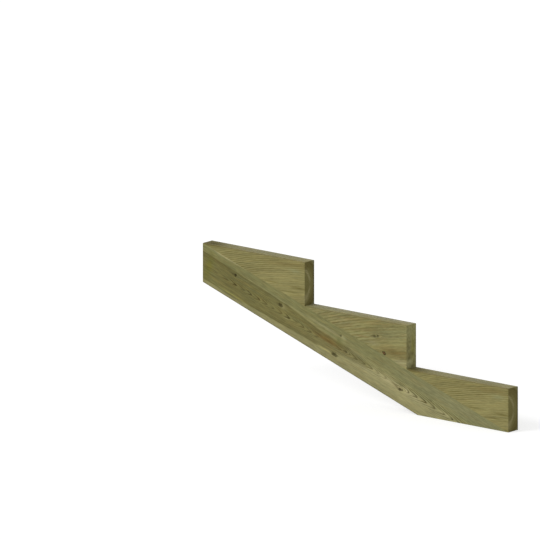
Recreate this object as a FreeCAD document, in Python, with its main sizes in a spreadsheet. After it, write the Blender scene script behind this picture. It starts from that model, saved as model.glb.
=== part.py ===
"""Timber stair stringer: a sloping bearer board with triangular step blocks on its upper edge.

The frame has +Z up and +X down the stair. The origin lies under the middle of the stringer, on
the ground, halfway through the timber.
"""

import FreeCAD, Part
import math
import os

import Sketcher

# Driving dimensions in millimetres.
SIZES = {
    # All the boards are planed to this thickness.
    "timber_thickness": 45,
    # Level run of one step, from riser face to riser face.
    "going": 400,
    # Height of one step, from tread seat to tread seat.
    "rise": 135,
    # Width of the bearer board, square to its edges.
    "bearer_width": 115,
    # Rounding of the planed long edges.
    "arris_radius": 2,
}

# The step blocks, from the top of the flight to its foot.
STEP_BLOCKS = ["upper_step_block", "middle_step_block", "lower_step_block"]

# Sizes that follow from the driving dimensions.
FLIGHT_LENGTH = f"({len(STEP_BLOCKS)} * Sizes.going)"
FLIGHT_HEIGHT = f"({len(STEP_BLOCKS)} * Sizes.rise)"

# Two outline points nearer than this, in millimetres, are the same point.
SAME_POINT = 1e-4


def fill_sheet(doc):
    """Write the driving dimensions to the document's spreadsheet, one aliased cell each."""
    sheet = doc.addObject("Spreadsheet::Sheet", "Sizes")
    for row, (alias, value) in enumerate(SIZES.items(), start=1):
        cell = f"A{row}"
        sheet.set(cell, str(value))
        sheet.setAlias(cell, alias)
    doc.recompute()
    return sheet


def draw_outline(body, corners):
    """Draw a closed outline of straight edges on the body's upright plane."""
    sketch = body.newObject("Sketcher::SketchObject", f"{body.Name}_outline")
    upright = next(plane for plane in body.Origin.OriginFeatures if plane.Role == "XZ_Plane")
    sketch.AttachmentSupport = [(upright, "")]
    sketch.MapMode = "FlatFace"
    points = [FreeCAD.Vector(x, z, 0) for x, z in corners]
    for start, end in zip(points, points[1:] + points[:1]):
        sketch.addGeometry(Part.LineSegment(start, end), False)
    for edge in range(len(points)):
        following = (edge + 1) % len(points)
        sketch.addConstraint(Sketcher.Constraint("Coincident", edge, 2, following, 1))
    return sketch


def bind(sketch, name, formula, kind, *places):
    """Add a dimension to the sketch and bind it to a formula of the spreadsheet's sizes."""
    value = sketch.evalExpression(formula)
    index = sketch.addConstraint(Sketcher.Constraint(kind, *places, value))
    sketch.renameConstraint(index, name)
    sketch.setExpression(f"Constraints.{name}", formula)


def saw_board(body, sketch):
    """Give the outline the thickness of the timber, half of it to each side of the middle."""
    board = body.newObject("PartDesign::Pad", f"{body.Name}_board")
    board.Profile = sketch
    board.SideType = "Symmetric"
    board.setExpression("Length", "Sizes.timber_thickness")
    body.Document.recompute()
    return board


def ease_arrises(body, sketch, board, planed_edge):
    """Round the two long edges where the planed edge of the board meets its faces."""
    line = sketch.Geometry[planed_edge]
    ends = [FreeCAD.Vector(point.x, 0, point.y) for point in (line.StartPoint, line.EndPoint)]
    names = []
    for number, edge in enumerate(board.Shape.Edges, start=1):
        flat = [FreeCAD.Vector(vertex.X, 0, vertex.Z) for vertex in edge.Vertexes]
        if all(any(point.isEqual(end, SAME_POINT) for point in flat) for end in ends):
            names.append(f"Edge{number}")
    arrises = body.newObject("PartDesign::Fillet", f"{body.Name}_arrises")
    arrises.Base = (board, names)
    arrises.setExpression("Radius", "Sizes.arris_radius")


def bearer_board(doc, sheet):
    """The sloping board: cut plumb at the top end, level at the foot, blocks on its upper edge."""
    body = doc.addObject("PartDesign::Body", "bearer_board")
    half_length = sheet.evalExpression(FLIGHT_LENGTH) / 2
    height = sheet.evalExpression(FLIGHT_HEIGHT)
    pitch_length = math.hypot(sheet.going, sheet.rise)
    plumb_cut = sheet.bearer_width * pitch_length / sheet.going
    foot_cut = sheet.bearer_width * pitch_length / sheet.rise
    top_end = (-half_length, height)
    toe = (half_length, 0)
    heel = (half_length - foot_cut, 0)
    under_end = (-half_length, height - plumb_cut)
    sketch = draw_outline(body, [top_end, toe, heel, under_end])
    seam, foot, underside, plumb = range(4)
    sketch.addConstraint(Sketcher.Constraint("Horizontal", foot))
    sketch.addConstraint(Sketcher.Constraint("Vertical", plumb))
    sketch.addConstraint(Sketcher.Constraint("Parallel", seam, underside))
    sketch.addConstraint(Sketcher.Constraint("PointOnObject", seam, 2, -1))
    bind(sketch, "half_length", f"{FLIGHT_LENGTH} / 2", "DistanceX", -1, 1, seam, 2)
    bind(sketch, "flight_length", FLIGHT_LENGTH, "DistanceX", seam, 1, seam, 2)
    bind(sketch, "flight_height", FLIGHT_HEIGHT, "DistanceY", seam, 2, seam, 1)
    bind(sketch, "board_width", "Sizes.bearer_width", "Distance", underside, 2, seam)
    board = saw_board(body, sketch)
    ease_arrises(body, sketch, board, underside)
    return body


def step_block(doc, sheet, name, steps_down):
    """A triangle of timber: tread seat on top, riser face in front, long side on the bearer."""
    body = doc.addObject("PartDesign::Body", name)
    tip = (0, 0)
    nose = (sheet.going, 0)
    riser_foot = (sheet.going, -sheet.rise)
    sketch = draw_outline(body, [tip, nose, riser_foot])
    tread, riser, _ = range(3)
    sketch.addConstraint(Sketcher.Constraint("Coincident", tread, 1, -1, 1))
    sketch.addConstraint(Sketcher.Constraint("Horizontal", tread))
    sketch.addConstraint(Sketcher.Constraint("Vertical", riser))
    bind(sketch, "going", "Sizes.going", "DistanceX", tread, 1, tread, 2)
    bind(sketch, "rise", "Sizes.rise", "DistanceY", riser, 2, riser, 1)
    board = saw_board(body, sketch)
    ease_arrises(body, sketch, board, tread)
    body.setExpression(".Placement.Base.x", f"{steps_down} * Sizes.going - {FLIGHT_LENGTH} / 2")
    body.setExpression(".Placement.Base.z", f"{FLIGHT_HEIGHT} - {steps_down} * Sizes.rise")
    return body


def check_built(doc, bodies):
    """Stop if any object of the document failed or any piece isn't one sound solid."""
    for item in doc.Objects:
        if {"Invalid", "Error"} & set(item.State):
            raise RuntimeError(f"{item.Name} failed: {item.State}")
    for body in bodies:
        if body.Shape.isNull() or not body.Shape.isValid() or len(body.Shape.Solids) != 1:
            raise RuntimeError(f"{body.Label} is not one valid solid")


def write_pieces(bodies):
    """Write each piece to a file of its own, named after it."""
    os.makedirs("parts", exist_ok=True)
    for body in bodies:
        body.Shape.exportStep(f"parts/{body.Label}.step")
        print(f"{body.Label}: {body.Shape.Volume / 1000:.1f} cm3")


def main():
    """Build the stringer and write its pieces."""
    doc = FreeCAD.newDocument("stair_stringer")
    sheet = fill_sheet(doc)
    bodies = [bearer_board(doc, sheet)]
    for steps_down, name in enumerate(STEP_BLOCKS):
        bodies.append(step_block(doc, sheet, name, steps_down))
    doc.recompute()
    check_built(doc, bodies)
    write_pieces(bodies)


main()
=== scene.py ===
"""Stair stringer in planed, pressure-treated pine: a sloping bearer with glued step blocks.

Each board is dressed with a solid timber finish that is worked out in the board's own grain: growth
rings round a pith, fibres that flow round the knots, sawn end grain and eased arrises. Lengths in
the grain are in millimetres, everything else is in metres.
"""

from dataclasses import dataclass, field
from enum import Enum
import logging
import math
from typing import Any, Union

import bpy
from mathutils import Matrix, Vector


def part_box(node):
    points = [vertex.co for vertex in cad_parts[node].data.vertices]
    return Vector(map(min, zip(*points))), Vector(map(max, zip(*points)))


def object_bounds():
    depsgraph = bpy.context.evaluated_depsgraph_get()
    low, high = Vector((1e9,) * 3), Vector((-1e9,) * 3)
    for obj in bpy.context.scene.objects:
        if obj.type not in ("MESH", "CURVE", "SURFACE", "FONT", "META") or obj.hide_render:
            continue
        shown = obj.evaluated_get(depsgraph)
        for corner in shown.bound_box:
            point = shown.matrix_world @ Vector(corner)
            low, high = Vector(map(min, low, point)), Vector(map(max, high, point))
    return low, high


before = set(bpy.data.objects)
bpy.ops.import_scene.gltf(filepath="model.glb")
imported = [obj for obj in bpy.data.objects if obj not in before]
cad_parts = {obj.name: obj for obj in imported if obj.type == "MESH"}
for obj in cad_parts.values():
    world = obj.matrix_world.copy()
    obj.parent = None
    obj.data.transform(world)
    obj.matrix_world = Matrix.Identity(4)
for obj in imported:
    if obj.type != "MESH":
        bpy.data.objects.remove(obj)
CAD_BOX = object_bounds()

LOG = logging.getLogger("stair_stringer")
MILLIMETRES = 1000.0
Colour = tuple[float, float, float, float]
Limits = tuple[float, float]
Socket = bpy.types.NodeSocket
Paint = Union[Socket, Colour]
Operand = Union["Signal", float]
WHITE: Colour = (1.0, 1.0, 1.0, 1.0)

# The screen's curve: steps of a channel, the straight part near black and the power above it.
SCREEN_STEPS = 255
TOE_END = 0.04045
TOE_SLOPE = 12.92
LIFT = 0.055
POWER = 2.4

# Where a step block's sawn end lies along its grain, and how deep the end's marks go, in millimetres.
NOSE = 400.0
END_SKIN = 4.0


def linear(share: float) -> float:
    """Undo the screen's curve for one channel."""
    return share / TOE_SLOPE if share <= TOE_END else ((share + LIFT) / (1 + LIFT)) ** POWER


def tone(red: int, green: int, blue: int) -> Colour:
    """Turn a colour as it is seen, in steps of 255, into the linear one that shaders use."""
    return (linear(red / SCREEN_STEPS), linear(green / SCREEN_STEPS), linear(blue / SCREEN_STEPS), 1.0)


class Signal:
    """A shader value. Python's operators on it add Math nodes."""

    def __init__(self, shader: "Shader", socket: Socket) -> None:
        """Keep the socket and the shader that it belongs to."""
        self.shader = shader
        self.socket = socket

    def __add__(self, other: Operand) -> "Signal":
        """Add."""
        return self.shader.math("ADD", self, other)

    __radd__ = __add__

    def __sub__(self, other: Operand) -> "Signal":
        """Take away."""
        return self.shader.math("SUBTRACT", self, other)

    def __rsub__(self, other: Operand) -> "Signal":
        """Take away from a number."""
        return self.shader.math("SUBTRACT", other, self)

    def __mul__(self, other: Operand) -> "Signal":
        """Multiply."""
        return self.shader.math("MULTIPLY", self, other)

    __rmul__ = __mul__

    def __truediv__(self, other: Operand) -> "Signal":
        """Divide."""
        return self.shader.math("DIVIDE", self, other)

    def __rtruediv__(self, other: Operand) -> "Signal":
        """Divide a number by the value."""
        return self.shader.math("DIVIDE", other, self)

    def __abs__(self) -> "Signal":
        """Drop the sign."""
        return self.shader.math("ABSOLUTE", self)

    def most(self, other: Operand) -> "Signal":
        """The larger of the two."""
        return self.shader.math("MAXIMUM", self, other)

    def least(self, other: Operand) -> "Signal":
        """The smaller of the two."""
        return self.shader.math("MINIMUM", self, other)

    def ramp(self, start: float, end: float) -> "Signal":
        """Ease between two values.

        Args:
            start: The value that gives 0.
            end: The value that gives 1. It may be the smaller one.

        Returns:
            The eased value.
        """
        settings = {"interpolation_type": "SMOOTHSTEP"}
        eased = self.shader.node("ShaderNodeMapRange", settings, {0: self, 1: start, 2: end})
        return Signal(self.shader, eased.outputs[0])

    def bell(self, width: float) -> "Signal":
        """Fall from 1 at 0 towards nothing at about twice the width."""
        share = self * (1 / width)
        return self.shader.math("EXPONENT", share * share * -1.0)


@dataclass(frozen=True)
class Layer:
    """Size of the lumps of one layer of noise in the timber, in millimetres, and its strength."""

    along: float
    across: float
    through: float
    detail: float
    strength: float


class Shader:
    """A node tree that is written as expressions."""

    LUMP_ROUGHNESS = 0.55
    NOISE_MIDDLE = 0.5

    def __init__(self, tree: bpy.types.NodeTree) -> None:
        """Start from an empty tree."""
        self.tree = tree
        tree.nodes.clear()

    def node(self, kind: str, settings: dict[str, Any], sockets: dict[Any, Any]) -> bpy.types.Node:
        """Add one node.

        Args:
            kind: The node's type.
            settings: Its properties, set first; "stops" gives a ramp's places and colours.
            sockets: Values or links of its inputs, by index or name.

        Returns:
            The node.
        """
        made = self.tree.nodes.new(kind)
        for name, value in settings.items():
            if name == "stops":
                self._set_stops(made.color_ramp, value)
            else:
                setattr(made, name, value)
        for key, value in sockets.items():
            source = value.socket if isinstance(value, Signal) else value
            if isinstance(source, Socket):
                self.tree.links.new(source, made.inputs[key])
            else:
                made.inputs[key].default_value = source
        return made

    @staticmethod
    def _set_stops(ramp: bpy.types.ColorRamp, stops: list[tuple[float, Colour]]) -> None:
        """Give a colour ramp its stops, from left to right.

        Args:
            ramp: The ramp to set.
            stops: Place from 0 to 1 and colour of each stop.
        """
        while len(ramp.elements) < len(stops):
            ramp.elements.new(1.0)
        for element, (place, colour) in zip(ramp.elements, stops):
            element.position = place
            element.color = colour

    def math(self, operation: str, *operands: Operand) -> Signal:
        """Add a Math node and return its result."""
        made = self.node("ShaderNodeMath", {"operation": operation}, dict(enumerate(operands)))
        return Signal(self, made.outputs[0])

    def vector(self, operation: str, *operands: Any) -> Socket:
        """Add a Vector Math node and return its vector."""
        settings = {"operation": operation}
        return self.node("ShaderNodeVectorMath", settings, dict(enumerate(operands))).outputs[0]

    def measure(self, operation: str, *operands: Any) -> Signal:
        """Add a Vector Math node, such as a length or a dot product, and return its value."""
        made = self.node("ShaderNodeVectorMath", {"operation": operation}, dict(enumerate(operands)))
        return Signal(self, made.outputs[1])

    def join(self, first: Operand, second: Operand, third: Operand) -> Socket:
        """Make a vector of three values."""
        made = self.node("ShaderNodeCombineXYZ", {}, {0: first, 1: second, 2: third})
        return made.outputs[0]

    def split(self, vector: Socket) -> list[Signal]:
        """Take a vector apart into its three values."""
        made = self.node("ShaderNodeSeparateXYZ", {}, {0: vector})
        return [Signal(self, output) for output in made.outputs]

    def mix(self, share: Operand, first: Paint, second: Paint) -> Socket:
        """Mix two colours.

        Args:
            share: How much of the second colour, 0 to 1.
            first: Colour or link at share 0.
            second: Colour or link at share 1.

        Returns:
            The mixed colour's socket.
        """
        factor, under, over, result = 0, 6, 7, 2
        settings = {"data_type": "RGBA", "clamp_factor": True}
        made = self.node("ShaderNodeMix", settings, {factor: share, under: first, over: second})
        return made.outputs[result]

    def shade(self, colour: Paint, strength: Operand) -> Socket:
        """Brighten or darken a colour, keeping its hue."""
        sockets = {"Value": strength, "Color": colour}
        return self.node("ShaderNodeHueSaturation", {}, sockets).outputs[0]

    def noise(self, place: Socket, layer: Layer) -> bpy.types.Node:
        """Smooth noise with lumps of a layer's size.

        Args:
            place: Where it is read.
            layer: Size and detail of the lumps.

        Returns:
            The noise node, whose outputs are a value and a colour, each near a half.
        """
        lumps = (layer.along, layer.across, layer.through)
        scaled = self.vector("MULTIPLY", place, tuple(1 / length for length in lumps))
        sockets = {
            "Vector": scaled,
            "Scale": 1.0,
            "Detail": layer.detail,
            "Roughness": self.LUMP_ROUGHNESS,
        }
        return self.node("ShaderNodeTexNoise", {"noise_dimensions": "3D"}, sockets)

    def level(self, place: Socket, layer: Layer) -> Signal:
        """Noise about 0, as strong as the layer says."""
        value = Signal(self, self.noise(place, layer).outputs[0])
        return (value - self.NOISE_MIDDLE) * (2 * layer.strength)


class Face(Enum):
    """The face of a board that a knot shows on, as a share of the thickness."""

    FRONT = 0.0
    BACK = 1.0


@dataclass(frozen=True)
class Knot:
    """A branch that shows on one face of a board. Lengths in millimetres.

    Attributes:
        along: Place of its middle along the grain.
        across: Place of its middle across the grain.
        radius: Half its width.
        face: The face that it shows on.
        stretch: Its length as a multiple of its width.
        tilt: Turn of its length out of the grain, in radians.
        lean: How far the branch leans along the grain.
        darkness: How far its wood covers the timber.
        tail: Strength of the dark streak behind it.
        pale: Strength of the pale swirl ahead of it.
        core: How far its middle takes the colour of the knot's heart.
    """

    along: float
    across: float
    radius: float
    face: Face = Face.FRONT
    stretch: float = 1.7
    tilt: float = 0.0
    lean: float = 0.25
    darkness: float = 0.95
    tail: float = 0.5
    pale: float = 0.4
    core: float = 1.0


@dataclass(frozen=True)
class KnotHabit:
    """How timber grows round a branch. Lengths are multiples of the branch's radius."""

    # The branch: its steepest run across the board, shortest length and range of widths.
    most_slant: float = 0.6
    least_length: float = 4.0
    taper: Limits = (0.05, 1.25)
    # Where its wood and its heart start, and where they are full.
    rim: Limits = (1.35, 0.7)
    core: Limits = (0.9, 0.2)
    # The grain round it: its reach, its width over its length, and how the fibres part.
    near: float = 2.0
    narrowing: float = 0.42
    parting: float = 1.3
    least_spread: float = 0.25
    # The dark streak behind it, the pale swirl ahead of it and the bulge of the rings.
    tail_length: float = 8.0
    tail_tip: float = 0.6
    tail_width: float = 0.8
    swirl: Limits = (0.4, 1.8)
    bulge: float = 0.9
    # How deep the marks go, and the unevenness of the outline, in millimetres.
    skin: float = 12.0
    outline: Layer = Layer(9.0, 6.0, 6.0, 2.0, 1.0)
    jitter: tuple[float, float, float] = (14.0, 8.0, 8.0)


@dataclass(frozen=True)
class Streak:
    """A soft-edged patch of another colour in the timber. Lengths in millimetres."""

    along: float
    across: float
    half_length: float
    half_width: float
    colour: Colour
    strength: float
    depth: float = 0.0
    half_depth: float = 14.0

    @classmethod
    def at_nose(cls, across: float, half_width: float, colour: Colour, strength: float,
                depth: float, half_depth: float) -> "Streak":
        """Make a streak that stays in the sawn end of a step block."""
        return cls(NOSE, across, END_SKIN, half_width, colour, strength, depth, half_depth)


@dataclass(frozen=True)
class Stretch:
    """A length of the stem, in millimetres, where something about it changes by an amount."""

    along: float
    half_length: float
    amount: float


@dataclass(frozen=True)
class Stem:
    """How a board lay in its tree. Lengths in millimetres, depth behind the front face.

    Attributes:
        pith_across: Place of the pith across the board.
        pith_depth: Depth of the pith where the grain starts.
        pith_drift: How much deeper the pith gets with each millimetre along the grain.
        ring_width: Width of one year's ring.
        seed: Sets the board's grain apart from its neighbours'.
        sway_across: How far the pith wanders across the board.
        sway_depth: How far the pith wanders through the board.
        sweep: Slope of the grain across the board where it starts.
        end_sweep: Slope of the grain where it ends.
        flat_width: How far across from the pith the rings still show clearly.
        ring_offset: How far the middle of the rings lies below the pith's place.
        pinch: How pointed the tips of the rings are.
        pinch_width: Half the width of these tips.
        lower_fade: How much the rings fade below the pith.
        outer_fade: How much the outer rings fade. Below 0 they get stronger.
        dense_radius: Distance from the pith where the outer rings start.
        thin_radius: Distance from the pith beyond which all the rings are outer ones.
        harvest: Picks the run of years that the rings come from.
        bends: Where the pith bends aside, and how far.
        calm: Where the rings fade, and how much.
        ripple: Unevenness of the rings.
        patches: Lumps in which the rings show more or less.
    """

    pith_across: float
    pith_depth: float
    pith_drift: float
    ring_width: float
    seed: float
    sway_across: float = 4.0
    sway_depth: float = 1.6
    sweep: float = 0.0
    end_sweep: float = 0.0
    flat_width: float = 26.0
    ring_offset: float = 0.0
    pinch: float = 0.0
    pinch_width: float = 14.0
    lower_fade: float = 0.0
    outer_fade: float = 0.0
    dense_radius: float = 24.0
    thin_radius: float = 50.0
    harvest: float = 0.0
    bends: tuple[Stretch, ...] = ()
    calm: tuple[Stretch, ...] = ()
    ripple: Layer = Layer(26.0, 6.0, 12.0, 2.0, 0.5)
    patches: Layer = Layer(34.0, 7.0, 7.0, 1.0, 1.3)


@dataclass(frozen=True)
class RingHabit:
    """How a year's ring grows and shows. Its season runs from 0 to 1."""

    # Lumps of the pith's sway.
    wander: Layer = Layer(260.0, 90.0, 90.0, 1.0, 1.0)
    # Strength of the rings in the poorest year, between two patches and in the faintest patch.
    least_harvest: float = 0.6
    patch_middle: float = 0.9
    least_patch: float = 0.1
    # Shares of the flat width where rings start to show and are clear, and what shows outside it.
    flat_cut: Limits = (1.0, 0.25)
    least_cut: float = 0.2
    # Heights above the pith where the lower fade starts and is full.
    below_pith: Limits = (-2.0, -8.0)
    # Seasons between which the late wood and the bright early wood come and go.
    late_start: Limits = (0.45, 0.88)
    late_end: Limits = (1.0, 0.93)
    early_start: Limits = (0.02, 0.15)
    early_end: Limits = (0.5, 0.3)


@dataclass(frozen=True)
class Growth:
    """Colours at a distance from the pith, in millimetres: above it, below it and on a sawn end."""

    radius: float
    above: Colour
    below: Colour
    sawn: Colour


@dataclass(frozen=True)
class TimberFinish:
    """Planed, pressure-treated softwood, with the colours and marks of one board."""

    stem: Stem
    growth: list[Growth]
    late_wood: Colour
    late_share: float
    # Colours that the hue wanders to, and the strength of everything that runs with the grain.
    warm: Colour
    cool: Colour
    figure: float
    knots: list[Knot] = field(default_factory=list)
    streaks: list[Streak] = field(default_factory=list)
    branching: KnotHabit = KnotHabit()
    seasons: RingHabit = RingHabit()
    # Late wood on sawn ends, how much of it the planed edges lose, and the gleam of early wood.
    sawn_late_share: float = 0.3
    edge_calm: float = 0.55
    early_gleam: float = 0.0
    # How far the warm and the cool colour may cover the timber.
    most_hue: float = 0.6
    # Colours of the knots and their marks, and how far each may cover the timber.
    knot_heart: Colour = tone(60, 50, 14)
    knot_rim: Colour = tone(40, 36, 6)
    knot_tail: Colour = tone(78, 70, 34)
    knot_swirl: Colour = tone(158, 152, 104)
    most_knot: float = 0.95
    most_tail: float = 0.8
    most_swirl: float = 0.7
    # Worn arrises, and a grey painted sheen on the edges, stronger towards the back.
    arris: Colour = tone(104, 90, 56)
    arris_share: float = 0.55
    painted_sheen_grey: Colour = tone(152, 149, 132)
    painted_sheen_share: float = 0.34
    # How squarely a surface faces along or across the grain, from the first sign to the full look.
    end_facing: Limits = (0.25, 0.85)
    edge_facing: Limits = (0.75, 0.97)
    arris_facing: Limits = (0.05, 0.35)
    # Heights above the pith between which the colours below it give way to those above it.
    pith_blend: Limits = (-6.0, 10.0)
    # Layers of the texture. Drift moves the borders between the colours.
    fibres: Layer = Layer(120.0, 2.2, 2.2, 3.0, 0.30)
    flecks: Layer = Layer(26.0, 2.6, 6.0, 2.0, 0.6)
    bands: Layer = Layer(380.0, 11.0, 11.0, 2.0, 0.26)
    mottle: Layer = Layer(110.0, 60.0, 60.0, 3.0, 0.16)
    pores: Layer = Layer(2.0, 2.0, 2.0, 2.0, 0.30)
    hue: Layer = Layer(50.0, 4.0, 8.0, 2.0, 0.38)
    drift: Layer = Layer(320.0, 40.0, 40.0, 2.0, 3.0)
    specular: float = 0.12
    # Roughness, and how much of it late wood takes away and sawn ends and fibres add.
    roughness: float = 0.66
    late_polish: float = 0.12
    sawn_roughness: float = 0.16
    fibre_roughness: float = 0.15
    # Strength and depth, in metres, of the raised fibres, and the height of late wood beside them.
    relief: float = 0.35
    relief_depth: float = 0.0004
    ring_relief: float = 0.5


@dataclass(frozen=True)
class GrainFrame:
    """Where a board's grain starts and which way it runs, in the frame of the stringer."""

    start: Vector
    along: Vector
    across: Vector
    through: Vector
    length: float
    thickness: float


class TimberMaterial:
    """Builds the material of one board from its finish and its grain."""

    # How far apart two seeds read their noise.
    SEED_STRIDE = (1731.0, 977.0, 613.0)
    FIBRE_STRIDE = (411.0, 59.0, 23.0)
    PATCH_STRIDE = (53.0, 29.0, 0.0)

    def __init__(self, name: str, finish: TimberFinish, grain: GrainFrame) -> None:
        """Make an empty material.

        Args:
            name: Name of the material.
            finish: The timber's colours and marks.
            grain: The board's own directions.
        """
        self.finish = finish
        self.grain = grain
        self.material = bpy.data.materials.new(name)
        self.material.use_nodes = True
        self.shader = Shader(self.material.node_tree)

    def build(self) -> bpy.types.Material:
        """Add all the nodes.

        Returns:
            The finished material.
        """
        self._enter_grain()
        self._follow_knots()
        self._grow_rings()
        self._lay_fibres()
        shader = self.shader
        bsdf = shader.node("ShaderNodeBsdfPrincipled", {}, {
            "Base Color": self._colour(),
            "Roughness": self._roughness(),
            "Specular IOR Level": self.finish.specular,
            "Normal": self._relief(),
        })
        shader.node("ShaderNodeOutputMaterial", {}, {"Surface": bsdf.outputs[0]})
        return self.material

    def _moved(self, place: Socket, seed: float, stride: tuple[float, float, float]) -> Socket:
        """Move the place where noise is read, by a seed."""
        return self.shader.vector("ADD", place, tuple(seed * step for step in stride))

    def _enter_grain(self) -> None:
        """Work out each point's place along, across and through the board, in millimetres."""
        shader, grain, stem = self.shader, self.grain, self.finish.stem
        coordinates = shader.node("ShaderNodeTexCoord", {}, {})
        place = shader.vector("SUBTRACT", coordinates.outputs["Object"], tuple(grain.start))
        axes = (grain.along, grain.across, grain.through)
        self.along, across, self.depth = (
            shader.measure("DOT_PRODUCT", place, tuple(axis * MILLIMETRES)) for axis in axes
        )
        self.place = shader.join(self.along, across, self.depth)
        self.seeded = self._moved(self.place, stem.seed, self.SEED_STRIDE)
        self.flow_across = across
        self.ring_across = across
        if stem.sweep:
            levelling = (stem.sweep - stem.end_sweep) / (2 * grain.length)
            climb = self.along * (stem.sweep - self.along * levelling)
            self.flow_across = across - climb
            self.ring_across = self.flow_across + grain.length * (stem.sweep + stem.end_sweep) / 2
        normal = coordinates.outputs["Normal"]
        facing_along, self.facing_across, self.facing_through = (
            abs(shader.measure("DOT_PRODUCT", normal, tuple(axis))) for axis in axes
        )
        self.end_grain = facing_along.ramp(*self.finish.end_facing)

    def _knot_axis(self, knot: Knot) -> tuple[Vector, Vector, float]:
        """Lay a knot's branch from the pith to the face.

        Args:
            knot: The knot.

        Returns:
            The point on the face, the direction of the branch and its length from the pith.
        """
        stem, habit = self.finish.stem, self.finish.branching
        face_depth = knot.face.value * self.grain.thickness
        on_face = Vector((knot.along, knot.across, face_depth))
        run = face_depth - stem.pith_depth - stem.pith_drift * knot.along
        slant = (knot.across - stem.pith_across) / run
        slant = max(-habit.most_slant, min(habit.most_slant, slant))
        direction = Vector((knot.lean, slant, 1.0)).normalized() * math.copysign(1.0, run)
        return on_face, direction, max(abs(run), habit.least_length * knot.radius)

    def _follow_knots(self) -> None:
        """Add up what the knots do: their wood, their marks, and how fibres and rings bend."""
        shader, habit = self.shader, self.finish.branching
        self.knot_wood: Operand = 0.0
        self.knot_core: Operand = 0.0
        self.tail: Operand = 0.0
        self.swirl: Operand = 0.0
        self.bulge: Operand = 0.0
        self.near_knot: Operand = 0.0
        if not self.finish.knots:
            return
        outline = shader.noise(self.seeded, habit.outline).outputs[1]
        jitter = shader.vector("SUBTRACT", outline, (shader.NOISE_MIDDLE,) * 3)
        jitter = shader.vector("MULTIPLY", jitter, habit.jitter)
        self.uneven = shader.vector("ADD", self.place, jitter)
        for knot in self.finish.knots:
            self._follow_knot(knot)

    def _follow_knot(self, knot: Knot) -> None:
        """Add one knot to the sums.

        Args:
            knot: The knot.
        """
        shader, habit, radius = self.shader, self.finish.branching, knot.radius
        on_face, direction, length = self._knot_axis(knot)
        offset = shader.vector("SUBTRACT", self.uneven, tuple(on_face))
        narrowed = self._turn_back(offset, knot)
        reach = shader.measure("LENGTH", shader.vector("CROSS_PRODUCT", narrowed, tuple(direction)))
        outward = shader.measure("DOT_PRODUCT", offset, tuple(direction))
        thinnest, thickest = habit.taper
        taper = (outward * (1 / length) + 1.0).most(thinnest).least(thickest)
        share = reach / (taper * radius)
        wood = share.ramp(*habit.rim) * knot.darkness
        self.knot_core = wood * share.ramp(*habit.core) * knot.core + self.knot_core
        self.knot_wood = wood + self.knot_wood
        ahead, aside, below = shader.split(shader.vector("SUBTRACT", self.place, tuple(on_face)))
        skin = below.bell(habit.skin)
        distance = shader.measure("LENGTH", shader.join(ahead * habit.narrowing, aside, 0.0))
        near = distance.bell(habit.near * radius) * skin
        spread = distance * distance * (1 / (habit.parting * radius) ** 2) + habit.least_spread
        self.flow_across = self.flow_across - aside / spread * skin
        tip = habit.tail_tip * radius
        behind = ahead.ramp(-habit.tail_length * radius, -radius) * ahead.ramp(tip, -tip)
        self.tail = aside.bell(habit.tail_width * radius) * behind * skin * knot.tail + self.tail
        swirl_start, swirl_full = habit.swirl
        turned = ahead.ramp(swirl_start * radius, swirl_full * radius)
        self.swirl = near * turned * knot.pale + self.swirl
        self.bulge = near * (habit.bulge * radius) + self.bulge
        self.near_knot = near + self.near_knot

    def _turn_back(self, offset: Socket, knot: Knot) -> Socket:
        """Level a tilted knot and shorten it to its width.

        Args:
            offset: Offset from the middle of the knot.
            knot: The knot.

        Returns:
            The offset at which a round knot would look the same.
        """
        along, across = math.cos(knot.tilt), math.sin(knot.tilt)
        lengthwise = self.shader.measure("DOT_PRODUCT", offset, (along, across, 0.0))
        sideways = self.shader.measure("DOT_PRODUCT", offset, (-across, along, 0.0))
        through = self.shader.measure("DOT_PRODUCT", offset, (0.0, 0.0, 1.0))
        return self.shader.join(lengthwise / knot.stretch, sideways, through)

    def _place_pith(self) -> Signal:
        """Lay the pith, which drifts, sways and bends, and measure the height above it.

        Returns:
            How far behind the pith a point lies.
        """
        shader, stem = self.shader, self.finish.stem
        wander = shader.noise(self.seeded, self.finish.seasons.wander)
        aside, inward = (part - shader.NOISE_MIDDLE for part in shader.split(wander.outputs[1])[:2])
        pith_across = aside * (2 * stem.sway_across) + stem.pith_across
        pith_depth = inward * (2 * stem.sway_depth) + stem.pith_depth
        pith_depth = self.along * stem.pith_drift + pith_depth
        for bend in stem.bends:
            pith_across = self._within(bend) * bend.amount + pith_across
        self.above_pith = self.ring_across - pith_across
        return self.depth - pith_depth

    def _within(self, stretch: Stretch) -> Signal:
        """1 in the middle of a stretch of the stem, less towards its ends."""
        return (self.along - stretch.along).bell(stretch.half_length)

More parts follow.
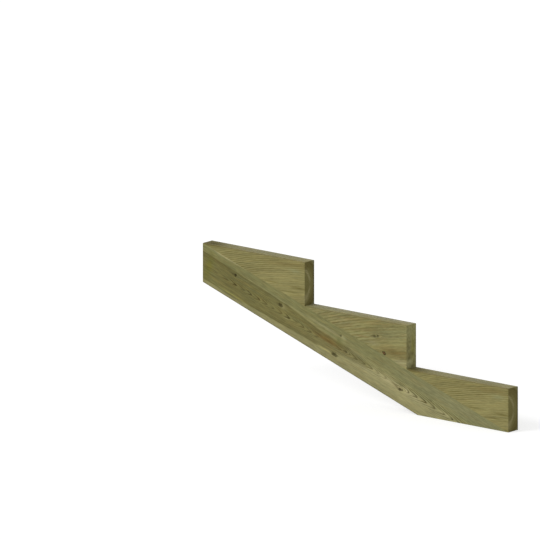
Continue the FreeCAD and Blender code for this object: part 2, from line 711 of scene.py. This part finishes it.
    def _grow_rings(self) -> None:
        """Work out the distance from the pith, and the late and early wood of the rings."""
        shader, stem, habit = self.shader, self.finish.stem, self.finish.seasons
        behind_pith = self._place_pith()
        unevenness = shader.level(self.seeded, stem.ripple) - self.bulge
        spoke = shader.join(0.0, self.above_pith, behind_pith)
        self.radius = shader.measure("LENGTH", spoke) + unevenness
        outer = self.radius.ramp(stem.dense_radius, stem.thin_radius)
        pinch = self.above_pith.bell(stem.pinch_width) * outer * stem.pinch
        pointed = (self.above_pith + stem.ring_offset) * (pinch + 1.0)
        pointed_spoke = shader.join(0.0, pointed, behind_pith)
        ring = (shader.measure("LENGTH", pointed_spoke) + unevenness) / stem.ring_width
        year = shader.math("FLOOR", ring) + stem.harvest
        season = shader.math("FRACT", ring)
        harvest = shader.node("ShaderNodeTexWhiteNoise", {"noise_dimensions": "1D"}, {"W": year})
        strength = Signal(shader, harvest.outputs[0]) * (1 - habit.least_harvest) + habit.least_harvest
        patchy, shown = self._ring_patches(), self._rings_shown()
        dense = 1 - outer * stem.outer_fade
        late = season.ramp(*habit.late_start) * season.ramp(*habit.late_end)
        early = season.ramp(*habit.early_start) * season.ramp(*habit.early_end)
        self.late_wood = late * strength * patchy * shown * dense
        self.early_wood = early * patchy * shown

    def _ring_patches(self) -> Signal:
        """Let the rings come and go in patches.

        Returns:
            The strength of the rings.
        """
        stem, habit = self.finish.stem, self.finish.seasons
        place = self._moved(self.seeded, stem.harvest, self.PATCH_STRIDE)
        return (self.shader.level(place, stem.patches) + habit.patch_middle).most(habit.least_patch)

    def _rings_shown(self) -> Signal:
        """Show the rings where a face cuts them flat and beside knots, and not in calm stretches.

        Returns:
            How far the rings show.
        """
        stem, habit = self.finish.stem, self.finish.seasons
        flat = (abs(self.above_pith) / stem.flat_width).ramp(*habit.flat_cut)
        shown = flat * (1 - habit.least_cut) + habit.least_cut
        for calm in stem.calm:
            shown = shown * (1 - self._within(calm) * calm.amount)
        if stem.lower_fade:
            shown = shown * (1 - self.above_pith.ramp(*habit.below_pith) * stem.lower_fade)
        return shown.most(self.near_knot)

    def _lay_fibres(self) -> None:
        """Lay the fibres along the grain, where they flow round the knots."""
        place = self.shader.join(self.along, self.flow_across, self.depth)
        self.flow = self._moved(place, self.finish.stem.seed, self.FIBRE_STRIDE)
        self.fibres = self.shader.level(self.flow, self.finish.fibres)

    def _ramp(self, growth: Signal, colours: list[Colour]) -> Socket:
        """Read a colour by the distance from the pith.

        Args:
            growth: Distance from the pith, as a share of the last one in the finish.
            colours: One colour for each growth step of the finish.

        Returns:
            The colour's socket.
        """
        steps = self.finish.growth
        stops = [(step.radius / steps[-1].radius, colour) for step, colour in zip(steps, colours)]
        return self.shader.node("ShaderNodeValToRGB", {"stops": stops}, {0: growth}).outputs[0]

    def _colour(self) -> Socket:
        """Lay the colours over each other.

        Returns:
            The socket of the board's colour.
        """
        shader, finish = self.shader, self.finish
        edge = self.facing_across.ramp(*finish.edge_facing)
        # A grey painted sheen on the faces across the grain, such as the treads, stronger towards the
        # back.
        painted_sheen = edge * self.depth.ramp(0.0, self.grain.thickness)
        colour = shader.mix(painted_sheen * finish.painted_sheen_share, self._plain_timber(), finish.painted_sheen_grey)
        for streak in finish.streaks:
            colour = self._add_streak(colour, streak)
        sawn_change = finish.sawn_late_share - finish.late_share
        late_share = self.end_grain * sawn_change + finish.late_share
        late_share = late_share * (1 - edge * finish.edge_calm)
        colour = shader.mix(self.late_wood * late_share, colour, finish.late_wood)
        colour = self._add_figure(colour)
        if finish.knots:
            colour = shader.mix(self.swirl.least(finish.most_swirl), colour, finish.knot_swirl)
            colour = shader.mix(self.tail.least(finish.most_tail), colour, finish.knot_tail)
            knot = shader.mix(self.knot_core, finish.knot_rim, finish.knot_heart)
            colour = shader.mix(self.knot_wood.least(finish.most_knot), colour, knot)
        arris = (self.facing_across * self.facing_through).ramp(*finish.arris_facing)
        return shader.mix(arris * finish.arris_share, colour, finish.arris)

    def _plain_timber(self) -> Socket:
        """Colour by the distance from the pith, on planed faces and on sawn ends.

        Returns:
            The colour's socket.
        """
        shader, finish, steps = self.shader, self.finish, self.finish.growth
        drift = shader.level(self.seeded, finish.drift)
        growth = (self.radius + drift) * (1 / steps[-1].radius)
        above = self._ramp(growth, [step.above for step in steps])
        below = self._ramp(growth, [step.below for step in steps])
        sawn = self._ramp(growth, [step.sawn for step in steps])
        planed = shader.mix(self.above_pith.ramp(*finish.pith_blend), below, above)
        return shader.mix(self.end_grain, planed, sawn)

    def _add_figure(self, colour: Socket) -> Socket:
        """Shade the colour with fibres, flecks and bands, or with pores on sawn ends.

        Args:
            colour: The colour so far.

        Returns:
            The socket of the new colour.
        """
        shader, finish = self.shader, self.finish
        planed = (1 - self.end_grain) * finish.figure
        hue = shader.level(self.flow, finish.hue) * planed
        colour = shader.mix(hue.most(0.0).least(finish.most_hue), colour, finish.warm)
        colour = shader.mix((hue * -1.0).most(0.0).least(finish.most_hue), colour, finish.cool)
        flecks = shader.level(self.flow, finish.flecks)
        bands = shader.level(self.flow, finish.bands)
        pores = shader.level(self.seeded, finish.pores) * self.end_grain
        mottle = shader.level(self.seeded, finish.mottle)
        gleam = self.early_wood * finish.early_gleam
        texture = (self.fibres + flecks + bands + gleam) * planed + pores + mottle
        return shader.shade(colour, texture + 1.0)

    def _add_streak(self, colour: Socket, streak: Streak) -> Socket:
        """Lay one streak over the colour.

        Args:
            colour: The colour so far.
            streak: The streak to add.

        Returns:
            The socket of the new colour.
        """
        shader = self.shader
        middle = (streak.along, streak.across, streak.depth)
        offset = shader.vector("SUBTRACT", self.place, middle)
        reach = (1 / streak.half_length, 1 / streak.half_width, 1 / streak.half_depth)
        share = shader.measure("LENGTH", shader.vector("MULTIPLY", offset, reach))
        return shader.mix(share.bell(1.0) * streak.strength, colour, streak.colour)

    def _roughness(self) -> Signal:
        """Smooth the late wood, and roughen sawn ends and raised fibres.

        Returns:
            The roughness.
        """
        finish = self.finish
        smoothed = finish.roughness - self.late_wood * finish.late_polish
        return smoothed + self.end_grain * finish.sawn_roughness + self.fibres * finish.fibre_roughness

    def _relief(self) -> Socket:
        """Raise the fibres and rings a little.

        Returns:
            The socket of the bent normal.
        """
        finish = self.finish
        height = self.fibres + self.late_wood * finish.ring_relief
        sockets = {"Strength": finish.relief, "Distance": finish.relief_depth, "Height": height}
        return self.shader.node("ShaderNodeBump", {}, sockets).outputs[0]


@dataclass
class Board:
    """One board of the stringer: a solid of the frame with a timber finish of its own."""

    node: str
    finish: TimberFinish
    grain: GrainFrame

    def dress(self) -> bpy.types.Object:
        """Give the board's solid its timber.

        Returns:
            The dressed object.
        """
        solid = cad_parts[self.node]
        material = TimberMaterial(f"{self.node}_timber", self.finish, self.grain).build()
        solid.material_slots[0].material = material
        return solid


@dataclass
class Stringer:
    """The stringer: a bearer board and the step blocks on its upper edge."""

    blocks: tuple[str, ...] = ("upper_step_block", "middle_step_block", "lower_step_block")
    bearer: str = "bearer_board"
    boards: list[Board] = field(default_factory=list)
    block_ripple: Layer = Layer(60.0, 9.0, 12.0, 1.0, 0.4)
    block_patches: Layer = Layer(60.0, 9.0, 9.0, 1.0, 0.8)
    block_mottle: Layer = Layer(110.0, 60.0, 60.0, 3.0, 0.07)

    def __post_init__(self) -> None:
        """Choose each board's finish and read its grain from the frame."""
        low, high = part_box(self.blocks[0])
        self.pitch = math.atan2(high.z - low.z, high.x - low.x)
        upper, middle, lower = self.blocks
        finishes = {
            self.bearer: self._bearer_finish(),
            upper: self._plain_block_finish(seed=0.95, tip_stain=1.0, end_painted_shade=0.0),
            middle: self._knotty_block_finish(seed=0.202),
            lower: self._plain_block_finish(seed=0.556, tip_stain=0.86, end_painted_shade=0.25),
        }
        for node, finish in finishes.items():
            grain = self._bearer_grain() if node == self.bearer else self._block_grain(node)
            self.boards.append(Board(node, finish, grain))

    def _bearer_grain(self) -> GrainFrame:
        """The bearer's grain starts at the lower end of its plumb cut and runs down the slope.

        Returns:
            The grain frame.
        """
        low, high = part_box(self.bearer)
        touching = 1e-4
        corners = [vertex.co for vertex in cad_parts[self.bearer].data.vertices]
        plumb_low = min(corner.z for corner in corners if corner.x < low.x + touching)
        along = Vector((math.cos(self.pitch), 0, -math.sin(self.pitch)))
        across = Vector((math.sin(self.pitch), 0, math.cos(self.pitch)))
        length = (high.x - low.x) / math.cos(self.pitch) * MILLIMETRES
        thickness = (high.y - low.y) * MILLIMETRES
        start = Vector((low.x, low.y, plumb_low))
        return GrainFrame(start, along, across, Vector((0, 1, 0)), length, thickness)

    def _block_grain(self, name: str) -> GrainFrame:
        """A block's grain lies level and starts under its tip.

        Args:
            name: The block's node.

        Returns:
            The grain frame.
        """
        low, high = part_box(name)
        along, across = Vector((1, 0, 0)), Vector((0, 0, 1))
        length = (high.x - low.x) * MILLIMETRES
        thickness = (high.y - low.y) * MILLIMETRES
        return GrainFrame(low, along, across, Vector((0, 1, 0)), length, thickness)

    @staticmethod
    def _bearer_finish() -> TimberFinish:
        """The bearer: dark heartwood that tapers out down the slope, between pale edges.

        Returns:
            The finish.
        """
        heart, heart_edge, faded_heart = tone(114, 109, 64), tone(101, 96, 54), tone(130, 125, 84)
        green_sap, pale_sap = tone(124, 122, 78), tone(138, 133, 92)
        sawn_heart, sawn_sap = tone(104, 98, 58), tone(122, 117, 76)
        russet, bleached, silver = tone(114, 90, 42), tone(156, 150, 106), tone(176, 168, 124)
        umber, seam_olive, painted_lower_edge_shade = tone(82, 66, 30), tone(102, 99, 54), tone(92, 88, 66)
        olive_stain, grey_sap = tone(110, 107, 42), tone(134, 132, 94)
        light_sap, dark_heart, pitch = tone(141, 136, 90), tone(88, 82, 42), tone(70, 66, 30)
        moss, lime = tone(98, 99, 52), tone(154, 155, 112)
        straw, lichen = tone(172, 162, 104), tone(150, 146, 84)
        return TimberFinish(
            stem=Stem(
                pith_across=52.0, pith_depth=14.8, pith_drift=0.0435, ring_width=1.4, seed=0.577,
                pinch=0.6, outer_fade=0.2, lower_fade=0.5, harvest=12.0,
                bends=(Stretch(450.0, 60.0, -3.0), Stretch(620.0, 70.0, 3.5)),
                calm=(
                    Stretch(15.0, 50.0, 0.9), Stretch(275.0, 50.0, 0.5), Stretch(495.0, 55.0, 0.85),
                    Stretch(660.0, 40.0, 0.3), Stretch(745.0, 50.0, 0.5), Stretch(960.0, 150.0, 0.1),
                ),
            ),
            growth=[
                Growth(0.0, heart, heart, sawn_heart),
                Growth(36.0, heart, heart, sawn_heart),
                Growth(42.3, heart_edge, heart_edge, sawn_heart),
                Growth(44.7, light_sap, light_sap, sawn_sap),
                Growth(48.3, green_sap, pale_sap, sawn_sap),
                Growth(95.0, green_sap, pale_sap, sawn_sap),
            ],
            late_wood=tone(66, 58, 20),
            late_share=1.2,
            warm=tone(132, 114, 64),
            cool=tone(112, 116, 80),
            figure=0.8,
            early_gleam=0.2,
            hue=Layer(70.0, 7.0, 10.0, 2.0, 0.7),
            knots=[
                Knot(109.0, 80.0, 3.7, stretch=1.3, darkness=1.0, tail=0.9, pale=0.1),
                Knot(299.0, 74.0, 3.8, stretch=2.2, darkness=0.66, pale=0.7),
                Knot(538.0, 27.0, 3.7, stretch=3.0, darkness=0.66, pale=0.8),
                Knot(542.0, 94.0, 2.2, darkness=0.5, tail=0.2, pale=1.0),
                Knot(576.0, 57.0, 2.4, stretch=2.0, darkness=0.6),
                Knot(805.0, 45.0, 4.0, stretch=2.3, tilt=0.3, darkness=0.72, pale=1.0),
                Knot(112.0, 38.0, 4.5, Face.BACK),
                Knot(305.0, 86.0, 4.0, Face.BACK),
                Knot(548.0, 60.0, 5.5, Face.BACK),
            ],
            streaks=[
                # The timber pales towards the foot, and its heart is darkest at the top.
                Streak(880.0, 32.0, 340.0, 28.0, bleached, 0.85, half_depth=60.0),
                Streak(1050.0, 95.0, 340.0, 30.0, grey_sap, 0.85, half_depth=60.0),
                Streak(150.0, 52.0, 140.0, 34.0, dark_heart, 0.13),
                # A russet flame before the middle.
                Streak(505.0, 57.0, 60.0, 13.0, russet, 0.5),
                Streak(492.0, 57.0, 34.0, 6.0, russet, 0.5),
                Streak(508.0, 55.0, 38.0, 2.4, umber, 0.5),
                Streak(448.0, 60.0, 22.0, 2.6, umber, 0.45),
                # Pale and dark flames where the heart runs out.
                Streak(752.0, 48.5, 66.0, 8.0, silver, 0.72),
                Streak(850.0, 45.0, 45.0, 8.0, silver, 0.6),
                Streak(480.0, 90.0, 80.0, 4.0, bleached, 0.8),
                Streak(648.0, 38.5, 62.0, 6.0, bleached, 0.95),
                Streak(612.0, 68.0, 40.0, 7.0, faded_heart, 0.85),
                Streak(605.0, 46.0, 40.0, 7.0, faded_heart, 0.65),
                Streak(661.0, 59.0, 15.0, 8.0, heart, 0.65),
                Streak(708.0, 71.0, 60.0, 7.0, light_sap, 0.8),
                Streak(668.0, 42.0, 34.0, 4.0, silver, 0.4),
                Streak(702.0, 51.0, 26.0, 9.0, bleached, 0.6),
                Streak(752.0, 63.0, 24.0, 4.0, bleached, 0.7),
                Streak(672.0, 98.0, 60.0, 9.0, seam_olive, 0.25),
                Streak(984.0, 53.0, 20.0, 2.6, silver, 0.6),
                Streak(556.0, 71.0, 22.0, 5.0, heart, 0.6),
                # Stains and lines at the upper end.
                Streak(55.0, 91.0, 60.0, 2.0, pitch, 0.35),
                Streak(5.0, 58.0, 14.0, 40.0, olive_stain, 0.8),
                # A painted highlight along the seam with the upper block.
                Streak(55.0, 114.0, 52.0, 3.0, silver, 0.75),
                Streak(50.0, 86.0, 70.0, 6.0, dark_heart, 0.4),
                Streak(60.0, 94.0, 55.0, 7.0, seam_olive, 0.4),
                Streak(115.0, 11.5, 50.0, 2.2, pitch, 0.6),
                Streak(122.0, 17.0, 55.0, 2.4, lichen, 0.9),
                # Marks beside the knots.
                Streak(538.0, 73.0, 12.0, 13.0, moss, 0.6),
                Streak(553.0, 93.0, 9.0, 5.0, lime, 0.7),
                Streak(503.0, 25.0, 30.0, 2.6, straw, 0.7),
                Streak(317.0, 86.0, 9.0, 2.0, pitch, 0.5),
                Streak(374.0, 55.5, 9.0, 2.2, pitch, 0.6),
                Streak(331.0, 44.5, 14.0, 2.0, bleached, 0.45),
                # Painted shade along the lower edge, where the underside arris turns away from the
                # light.
                Streak(480.0, 0.0, 800.0, 2.6, painted_lower_edge_shade, 0.7),
                # Marks beside the lowest knot.
                Streak(800.0, 59.0, 15.0, 2.0, pitch, 0.5),
                Streak(824.0, 53.0, 10.0, 8.0, silver, 0.7),
            ],
        )

    def _plain_block_finish(self, seed: float, tip_stain: float, end_painted_shade: float) -> TimberFinish:
        """A step block without knots: broad rings seen from the heart side, warm streaks.

        Args:
            seed: Sets this block's grain apart from its neighbours'.
            tip_stain: How strong the stain on top of the tip is; a weaker one paints in light where
                the block above shades the tip.
            end_painted_shade: Strength of the painted shade over the sawn end, against the light that
                the floor throws onto it.

        Returns:
            The finish.
        """
        straw, olive = tone(141, 134, 86), tone(139, 132, 84)
        sawn, sawn_pale, sawn_dark = tone(118, 112, 66), tone(146, 139, 96), tone(105, 97, 53)
        sawn_edge, sawn_deep = tone(124, 121, 86), tone(92, 84, 42)
        flame, stain, shadowed = tone(106, 99, 52), tone(74, 66, 8), tone(62, 66, 48)
        tan, sage = tone(120, 107, 62), tone(139, 139, 98)
        fresh, drab = tone(148, 140, 92), tone(108, 108, 84)
        return TimberFinish(
            stem=Stem(
                pith_across=66.0, pith_depth=-29.4, pith_drift=0.006, ring_width=6.2, seed=seed,
                sweep=0.34, end_sweep=0.08, flat_width=200.0, ring_offset=46.0,
                outer_fade=-1.4, dense_radius=34.0, thin_radius=60.0,
                calm=(Stretch(45.0, 45.0, 0.3), Stretch(330.0, 80.0, 0.35)),
                ripple=self.block_ripple,
                patches=self.block_patches,
            ),
            growth=[
                Growth(0.0, straw, straw, sawn),
                Growth(47.0, straw, straw, sawn),
                Growth(51.0, straw, straw, sawn_pale),
                Growth(54.0, straw, straw, sawn_pale),
                Growth(58.0, straw, olive, sawn),
                Growth(64.0, olive, olive, sawn),
                Growth(68.0, olive, olive, sawn_dark),
                Growth(77.0, olive, olive, sawn_dark),
                Growth(82.0, olive, olive, sawn_deep),
                Growth(86.0, olive, olive, sawn_dark),
                Growth(91.0, olive, olive, sawn_edge),
                Growth(120.0, olive, olive, sawn_edge),
            ],
            late_wood=tone(104, 96, 48),
            late_share=0.5,
            warm=tone(141, 121, 71),
            cool=tone(124, 125, 84),
            figure=1.0,
            flecks=Layer(20.0, 2.3, 6.0, 2.0, 0.35),
            bands=Layer(150.0, 12.0, 14.0, 2.0, 0.26),
            mottle=self.block_mottle,
            # How far the grey painted sheen covers the tread.
            painted_sheen_share=0.28,
            streaks=[
                # Warm, fresh and grey wood on the face, and dark flames.
                Streak(345.0, 120.0, 90.0, 11.0, tan, 0.6),
                Streak(230.0, 104.0, 90.0, 6.0, fresh, 0.5),
                Streak(260.0, 80.0, 60.0, 6.0, fresh, 0.45),
                Streak(360.0, 103.0, 24.0, 8.0, sage, 0.8),
                Streak(378.0, 51.0, 30.0, 3.4, flame, 0.95),
                Streak(268.0, 56.0, 32.0, 2.2, flame, 0.7),
                Streak(345.0, 35.0, 36.0, 2.2, flame, 0.7),
                # The stain on top of the tip, weaker on the lower block as painted light against the
                # shade of the block above.
                Streak(26.0, 135.0, 54.0, 6.0, stain, tip_stain, depth=18.0, half_depth=30.0),
                # The sawn end.
                Streak.at_nose(64.0, 13.0, sawn, 0.9, depth=26.0, half_depth=7.0),
                Streak.at_nose(25.0, 11.0, sawn_pale, 1.0, depth=7.0, half_depth=9.0),
                Streak.at_nose(11.0, 9.0, sawn_pale, 0.4, depth=4.0, half_depth=10.0),
                # The back of the tread.
                Streak(235.0, 135.0, 120.0, 4.0, drab, 0.42, depth=24.0, half_depth=24.0),
                # The sawn end's dark corner, painted shade along its back edge, and painted shade over
                # the end where the floor lights it.
                Streak.at_nose(120.0, 9.0, sawn_deep, 0.6, depth=8.0, half_depth=9.0),
                Streak.at_nose(64.0, 200.0, shadowed, 0.45, depth=45.0, half_depth=5.0),
                Streak.at_nose(64.0, 200.0, sawn_deep, end_painted_shade, depth=16.0, half_depth=26.0),
            ],
        )

    def _knotty_block_finish(self, seed: float) -> TimberFinish:
        """A step block with a double knot and a single one, a mottled sawn end and a pale foot.

        Args:
            seed: Sets this block's grain apart from its neighbours'.

        Returns:
            The finish.
        """
        straw, olive, sage = tone(137, 131, 84), tone(135, 129, 82), tone(137, 133, 88)
        sawn, sawn_pale, sawn_dark = tone(137, 133, 86), tone(146, 143, 98), tone(118, 111, 70)
        moss, sawn_light, sawn_deep = tone(140, 136, 72), tone(168, 164, 120), tone(98, 94, 56)
        flame, pale, salmon = tone(110, 95, 52), tone(164, 158, 118), tone(148, 122, 74)
        shade, fresh = tone(116, 109, 64), tone(152, 145, 102)
        return TimberFinish(
            stem=Stem(
                pith_across=88.0, pith_depth=-28.0, pith_drift=-0.008, ring_width=8.6, seed=seed,
                sweep=0.34, end_sweep=0.12, flat_width=200.0, ring_offset=46.0,
                calm=(Stretch(350.0, 110.0, 0.6),),
                ripple=self.block_ripple,
                patches=self.block_patches,
            ),
            growth=[
                Growth(0.0, sage, straw, sawn),
                Growth(40.0, sage, straw, sawn),
                Growth(52.0, straw, olive, sawn_pale),
                Growth(62.0, straw, olive, sawn),
                Growth(72.0, olive, straw, sawn),
                Growth(84.0, olive, straw, sawn_pale),
                Growth(120.0, sage, straw, sawn),
            ],
            late_wood=tone(106, 98, 52),
            late_share=1.0,
            warm=tone(148, 122, 78),
            cool=tone(122, 127, 90),
            figure=1.0,
            pores=Layer(4.0, 9.0, 6.0, 3.0, 0.55),
            flecks=Layer(20.0, 2.3, 6.0, 2.0, 0.5),
            bands=Layer(150.0, 12.0, 14.0, 2.0, 0.42),
            mottle=self.block_mottle,
            hue=Layer(60.0, 6.0, 8.0, 2.0, 0.5),
            # How far the grey painted sheen covers the tread.
            painted_sheen_share=0.5,
            knots=[
                Knot(276.0, 83.5, 3.4, stretch=1.9, darkness=0.55, tail=0.4, pale=0.0, core=0.1),
                Knot(287.5, 86.0, 3.3, stretch=1.2, darkness=0.7, tail=0.0, pale=0.0, core=0.1),
                Knot(312.0, 37.0, 4.6, stretch=1.4, darkness=1.0, tail=0.2, pale=0.0),
            ],
            knot_heart=tone(104, 76, 46),
            streaks=[
                # Dark, pale and warm wood on the face.
                Streak(350.0, 105.0, 75.0, 24.0, sage, 0.7),
                Streak(350.0, 45.0, 52.0, 13.0, flame, 0.9),
                Streak(265.0, 104.0, 45.0, 11.0, shade, 0.4),
                Streak(320.0, 126.0, 75.0, 8.0, shade, 0.45),
                Streak(208.0, 92.0, 26.0, 6.0, shade, 0.4),
                Streak(382.0, 16.0, 38.0, 11.0, pale, 0.6),
                Streak(268.0, 62.0, 20.0, 6.0, pale, 0.5),
                Streak(225.0, 76.0, 26.0, 3.0, salmon, 0.6),
                Streak(150.0, 122.0, 70.0, 5.0, salmon, 0.35),
                # A paler patch near the tip: painted light against the shade from the upper block.
                Streak(150.0, 110.0, 50.0, 12.0, fresh, 0.45),
                # The mottled sawn end.
                Streak.at_nose(112.0, 13.0, sawn_pale, 0.7, depth=18.0, half_depth=40.0),
                Streak.at_nose(82.0, 5.0, sawn_dark, 0.6, depth=18.0, half_depth=22.0),
                Streak.at_nose(60.0, 40.0, moss, 0.8, depth=29.0, half_depth=8.0),
                Streak.at_nose(44.0, 6.0, sawn_dark, 0.8, depth=22.0, half_depth=18.0),
                Streak.at_nose(33.0, 5.0, sawn_deep, 0.9, depth=13.0, half_depth=6.0),
                Streak.at_nose(66.0, 10.0, sawn_dark, 0.6, depth=9.0, half_depth=8.0),
                Streak.at_nose(7.0, 6.0, sawn_dark, 0.9, depth=30.0, half_depth=7.0),
                Streak.at_nose(19.0, 8.0, sawn_light, 1.0, depth=19.0, half_depth=9.0),
                Streak.at_nose(8.0, 5.0, sawn_light, 0.8, depth=11.0, half_depth=4.0),
                Streak.at_nose(22.0, 14.0, sawn_dark, 0.35, depth=38.0, half_depth=8.0),
            ],
        )

    def dress(self) -> list[bpy.types.Object]:
        """Dress every board and return the solids."""
        return [board.dress() for board in self.boards]


@dataclass
class Studio:
    """A pale floor, soft light and a camera that sees the stringer as the photograph does."""

    # The camera's angles in degrees, and the picture's frame, scale and place of the top front corner.
    azimuth: float = 39.9
    elevation: float = 13.3
    frame_pixels: float = 540.0
    pixels_per_metre: float = 331.9
    top_corner_pixel: tuple[float, float] = (202.8, 242.9)
    camera_distance: float = 6.0
    # Side of the floor and the gap between it and the stringer, in metres.
    floor_size: float = 40.0
    floor_gap: float = 0.0005
    # Even light from all round, and the lamp's strength, breadth in radians and place.
    ambient: float = 0.62
    key_strength: float = 1.4
    key_breadth: float = 0.45
    key_side: tuple[float, float, float] = (-2.2, -3.6, 3.2)
    # What the floor shows to the camera: its own glow, and light that the shadow takes away.
    floor_glow: float = 0.62
    floor_reflectance: float = 0.5
    # How much light the floor throws back onto the stringer.
    floor_bounce: float = 0.8

    def build(self) -> list[bpy.types.Object]:
        """Set up everything round the stringer.

        Returns:
            The floor, the lamp and the camera.
        """
        floor = self._build_floor()
        self._build_world()
        lamp = self._build_key_light()
        camera = self._build_camera()
        bpy.context.scene.view_settings.view_transform = "Standard"
        return [floor, lamp, camera]

    @staticmethod
    def _grey(level: float) -> Colour:
        """A grey of one level."""
        return (level, level, level, 1.0)

    def _build_floor(self) -> bpy.types.Object:
        """Lay a large white floor that keeps the stringer's shadow.

        Returns:
            The floor.
        """
        half = self.floor_size / 2
        corners = [(-half, -half), (half, -half), (half, half), (-half, half)]
        mesh = bpy.data.meshes.new("studio_floor")
        mesh.from_pydata([(x, y, -self.floor_gap) for x, y in corners], [], [(0, 1, 2, 3)])
        floor = bpy.data.objects.new("studio_floor", mesh)
        bpy.context.scene.collection.objects.link(floor)
        material = bpy.data.materials.new("studio_floor")
        material.use_nodes = True
        shader = Shader(material.node_tree)
        matt = shader.node("ShaderNodeBsdfDiffuse", {}, {"Color": self._grey(self.floor_reflectance)})
        glow = shader.node("ShaderNodeEmission", {}, {"Strength": self.floor_glow})
        lit = shader.node("ShaderNodeAddShader", {}, {0: matt.outputs[0], 1: glow.outputs[0]})
        plain = shader.node("ShaderNodeBsdfDiffuse", {}, {"Color": self._grey(self.floor_bounce)})
        share = self._seen_directly(shader)
        sockets = {0: share, 1: plain.outputs[0], 2: lit.outputs[0]}
        surface = shader.node("ShaderNodeMixShader", {}, sockets)
        shader.node("ShaderNodeOutputMaterial", {}, {"Surface": surface.outputs[0]})
        mesh.materials.append(material)
        return floor

    @staticmethod
    def _seen_directly(shader: Shader) -> Signal:
        """Tell the rays that show the background from those that light the stringer.

        Args:
            shader: The shader that asks.

        Returns:
            1 for camera, glossy and transmission rays, 0 for the rest.
        """
        path = shader.node("ShaderNodeLightPath", {}, {})
        names = ("Is Camera Ray", "Is Glossy Ray", "Is Transmission Ray")
        camera, glossy, through = (Signal(shader, path.outputs[name]) for name in names)
        return camera.most(glossy).most(through)

    def _build_world(self) -> None:
        """Surround the stringer with even white light."""
        world = bpy.data.worlds.new("studio")
        world.use_nodes = True
        shader = Shader(world.node_tree)
        strength = self._seen_directly(shader) * (1.0 - self.ambient) + self.ambient
        sockets = {"Color": WHITE, "Strength": strength}
        light = shader.node("ShaderNodeBackground", {}, sockets)
        shader.node("ShaderNodeOutputWorld", {}, {"Surface": light.outputs[0]})
        bpy.context.scene.world = world

    def _build_key_light(self) -> bpy.types.Object:
        """Shine one broad, distant lamp from in front, from the left and from above.

        Returns:
            The lamp.
        """
        data = bpy.data.lights.new("key_light", "SUN")
        data.energy = self.key_strength
        data.angle = self.key_breadth
        lamp = bpy.data.objects.new("key_light", data)
        lamp.location = self.key_side
        lamp.rotation_mode = "QUATERNION"
        lamp.rotation_quaternion = (-lamp.location).to_track_quat("-Z", "Y")
        bpy.context.scene.collection.objects.link(lamp)
        return lamp

    def _build_camera(self) -> bpy.types.Object:
        """Aim a parallel camera so that the top front corner falls on its pixel.

        Returns:
            The camera.
        """
        turn, rise = math.radians(self.azimuth), math.radians(self.elevation)
        right = Vector((math.cos(turn), math.sin(turn), 0))
        level = math.cos(rise)
        back = Vector((math.sin(turn) * level, -math.cos(turn) * level, math.sin(rise)))
        up = back.cross(right)
        low, high = CAD_BOX
        corner = Vector((low.x, low.y, high.z))
        middle = self.frame_pixels / 2
        to_right = (middle - self.top_corner_pixel[0]) / self.pixels_per_metre
        to_top = (self.top_corner_pixel[1] - middle) / self.pixels_per_metre
        data = bpy.data.cameras.new("camera")
        data.type = "ORTHO"
        data.ortho_scale = self.frame_pixels / self.pixels_per_metre
        camera = bpy.data.objects.new("camera", data)
        camera.location = corner + right * to_right + up * to_top + back * self.camera_distance
        camera.rotation_mode = "QUATERNION"
        camera.rotation_quaternion = (-back).to_track_quat("-Z", "Y")
        bpy.context.scene.collection.objects.link(camera)
        bpy.context.scene.camera = camera
        return camera


def main() -> None:
    """Dress the stringer, set up the studio round it and report each piece."""
    logging.basicConfig(level=logging.INFO, format="%(name)s: %(message)s")
    for solid in Stringer().dress():
        LOG.info("%s dressed", solid.name)
    for piece in Studio().build():
        LOG.info("%s set up", piece.name)


if __name__ == "__main__":
    main()
